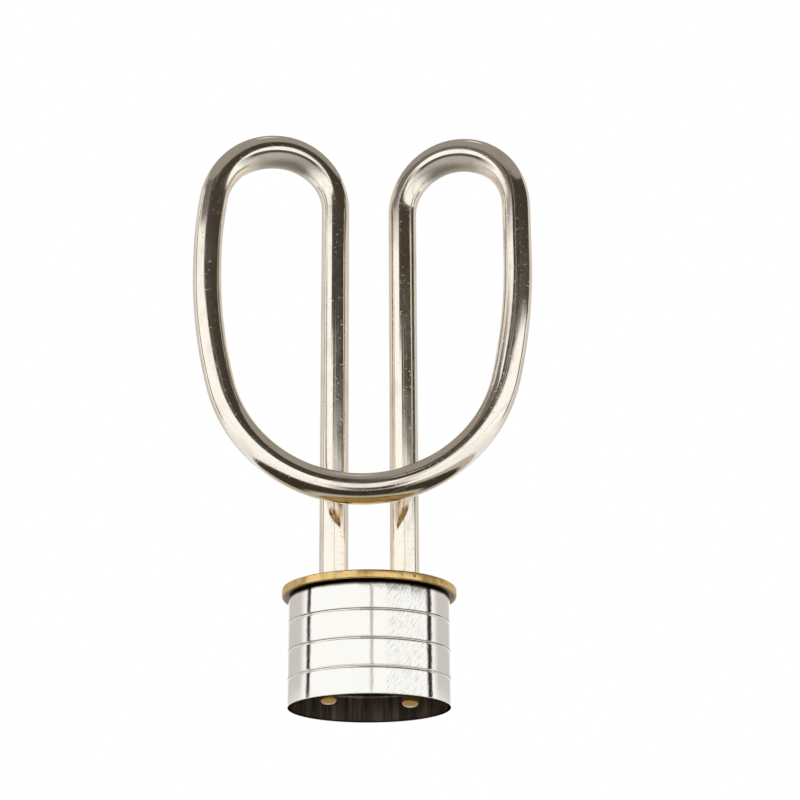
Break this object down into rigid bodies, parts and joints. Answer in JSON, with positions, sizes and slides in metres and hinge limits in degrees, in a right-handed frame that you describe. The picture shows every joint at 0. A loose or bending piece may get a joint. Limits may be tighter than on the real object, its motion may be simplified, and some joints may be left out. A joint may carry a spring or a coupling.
{
  "type": "plug-in tubular heating element",
  "caption": "Immersion heating element: a sheath tube bent into twin lobes joined by a front loop, brazed to a flange above a grooved round socket cup with contact pins.",
  "frame": {"origin": "centre of the flange's upper face, where the sealing ring sits", "axes": "+Z along the cup's axis, from the socket up to the loops; -Y towards the front loop; +X to the right seen from the front"},
  "size_m": [0.0824, 0.0412, 0.1439],
  "materials": {
    "nickel_sheath": "bright warm nickel, drawn and bent, with faint handling marks",
    "magnesia": "packed white magnesium-oxide powder",
    "resistance_wire": "dark oxidised resistance wire",
    "steel_pin": "plain drawn steel",
    "seal_resin": "hard potted resin",
    "flange_brass": "turned brass, lightly tarnished",
    "braze_alloy": "smooth solidified braze",
    "cup_chrome": "bright plating over turned metal, with fine tool marks",
    "phenolic": "dark brown moulded phenolic",
    "contact_brass": "turned brass"
  },
  "bodies": {
    "root": {"sheath_tube": "nickel_sheath", "magnesia_filling": "magnesia", "resistance_coil": "resistance_wire", "cold_pin_left": "steel_pin", "cold_pin_right": "steel_pin", "end_seal_left": "seal_resin", "end_seal_right": "seal_resin", "mounting_flange": "flange_brass", "braze_fillet_left": "braze_alloy", "braze_fillet_right": "braze_alloy", "terminal_cup": "cup_chrome", "terminal_plate": "phenolic", "contact_pin_left": "contact_brass", "contact_pin_right": "contact_brass"}
  },
  "joints": []
}
